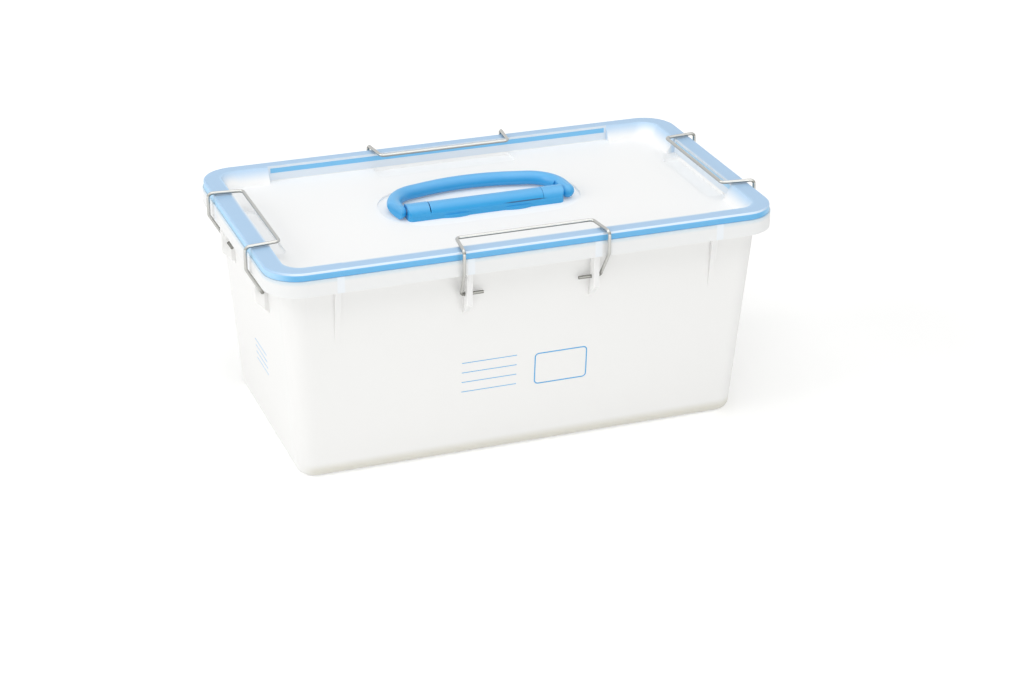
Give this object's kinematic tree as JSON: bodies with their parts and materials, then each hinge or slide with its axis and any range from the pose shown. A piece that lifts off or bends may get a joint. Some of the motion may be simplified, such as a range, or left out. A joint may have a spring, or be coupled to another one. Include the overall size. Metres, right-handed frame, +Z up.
{
  "type": "specimen transport box",
  "caption": "Translucent specimen transport box with a clear recessed lid, blue ring seal, wire bail clips and a folding blue carry handle.",
  "frame": {"origin": "centre of the box's footprint on the surface it stands on", "axes": "+Z up, +X along the long side, -Y the front with the clip and the printed panels"},
  "size_m": [0.4118, 0.2398, 0.1815],
  "materials": {
    "tub": "milky translucent, satin",
    "lid": "clear to frosted, smooth",
    "seal": "soft, matt",
    "handle": "satin",
    "wire": "drawn wire",
    "pin": "plain",
    "screw": "plain",
    "washer": "matt"
  },
  "bodies": {
    "tub": {"tub_body": "tub"},
    "lid": {"lid_panel": "lid", "lid_seal": "seal", "handle_base": "handle", "handle_cover": "handle", "handle_pin_left": "pin", "handle_pin_right": "pin", "handle_screws": "screw", "screw_washers": "washer"},
    "grip": {"handle_grip": "handle"},
    "clip_front": {"clip_front": "wire"},
    "clip_right": {"clip_right": "wire"},
    "clip_back": {"clip_back": "wire"},
    "clip_left": {"clip_left": "wire"}
  },
  "joints": [
    {"name": "lid_lift", "type": "slide", "parent": "tub", "child": "lid", "axis": [0, 0, 1], "range_m": [0, 0.2]},
    {"name": "grip_turn", "type": "hinge", "parent": "lid", "child": "grip", "pos_m": [-0.0012, -0.0054, 0.1703], "axis": [1, 0, 0], "range_deg": [0, 95]},
    {"name": "clip_front_turn", "type": "hinge", "parent": "tub", "child": "clip_front", "pos_m": [0, -0.1061, 0.1408], "axis": [1, 0, 0], "range_deg": [0, 155]},
    {"name": "clip_right_turn", "type": "hinge", "parent": "tub", "child": "clip_right", "pos_m": [0.1921, 0, 0.1408], "axis": [0, 1, 0], "range_deg": [0, 155]},
    {"name": "clip_back_turn", "type": "hinge", "parent": "tub", "child": "clip_back", "pos_m": [0, 0.1061, 0.1408], "axis": [-1, 0, 0], "range_deg": [0, 155]},
    {"name": "clip_left_turn", "type": "hinge", "parent": "tub", "child": "clip_left", "pos_m": [-0.1921, 0, 0.1408], "axis": [0, -1, 0], "range_deg": [0, 155]}
  ]
}
